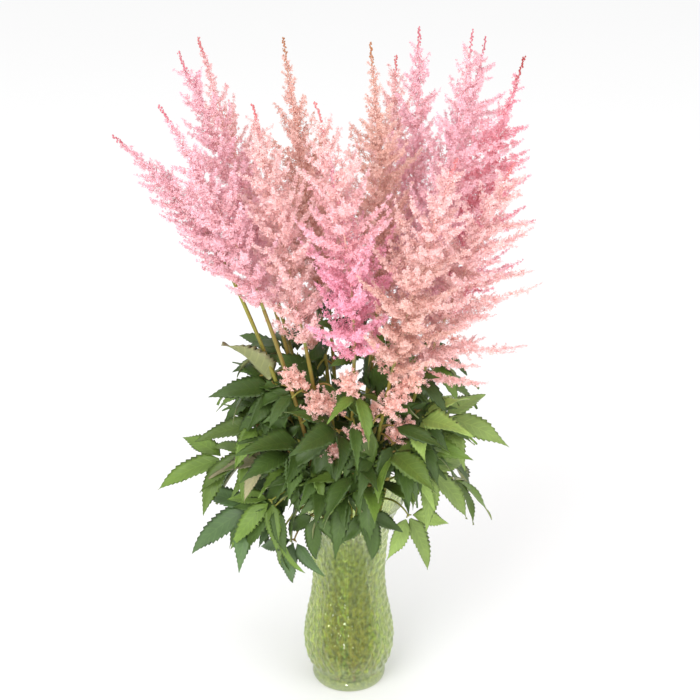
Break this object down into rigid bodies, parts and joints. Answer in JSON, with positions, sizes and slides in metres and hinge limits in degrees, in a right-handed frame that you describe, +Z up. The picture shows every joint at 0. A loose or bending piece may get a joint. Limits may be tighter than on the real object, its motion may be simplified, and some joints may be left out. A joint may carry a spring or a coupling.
{
  "type": "astilbe flowers in a glass vase",
  "caption": "Pink feathery astilbe plumes on green stems with toothed compound leaves, standing in water in a flared green glass vase with a raised diamond lattice.",
  "frame": {"origin": "Centre of the vase's flat underside, on the surface that it stands on.", "axes": "+Z is up along the vase's axis, -Y is the front that the picture shows, +X is to the viewer's right."},
  "size_m": [0.4063, 0.313, 0.763],
  "materials": {
    "glass": "gloss",
    "water": "gloss",
    "leaf": "satin",
    "florets_pink": "matte",
    "florets_bright": "matte",
    "florets_pale": "matte",
    "florets_beige": "matte",
    "florets_deep": "matte"
  },
  "bodies": {
    "root": {"leaf_spray_north_west": "leaf", "leaf_spray_south_east": "leaf", "leaf_spray_south_west": "leaf", "leaf_spray_west": "leaf", "plume_back": "florets_pale", "plume_back_middle": "florets_pale", "plume_back_right": "florets_pink", "plume_far_left": "florets_pink", "plume_far_right": "florets_pale", "plume_front": "florets_bright", "plume_golden": "florets_beige", "plume_inner_right": "florets_pink", "plume_left": "florets_pink", "plume_left_back": "florets_pale", "plume_left_front": "florets_pale", "plume_left_tall": "florets_pink", "plume_middle": "florets_beige", "plume_right": "florets_deep", "plume_right_front": "florets_beige", "plume_right_tall": "florets_pink", "side_spray_01": "florets_pale", "side_spray_02": "florets_pale", "side_spray_03": "florets_pale", "side_spray_04": "florets_pale", "side_spray_05": "florets_pale", "stem_back": "leaf", "stem_back_middle": "leaf", "stem_back_right": "leaf", "stem_far_left": "leaf", "stem_far_right": "leaf", "stem_front": "leaf", "stem_golden": "leaf", "stem_inner_right": "leaf", "stem_left": "leaf", "stem_left_back": "leaf", "stem_left_front": "leaf", "stem_left_tall": "leaf", "stem_middle": "leaf", "stem_right": "leaf", "stem_right_front": "leaf", "stem_right_tall": "leaf", "vase": "glass", "water": "water"}
  },
  "joints": []
}
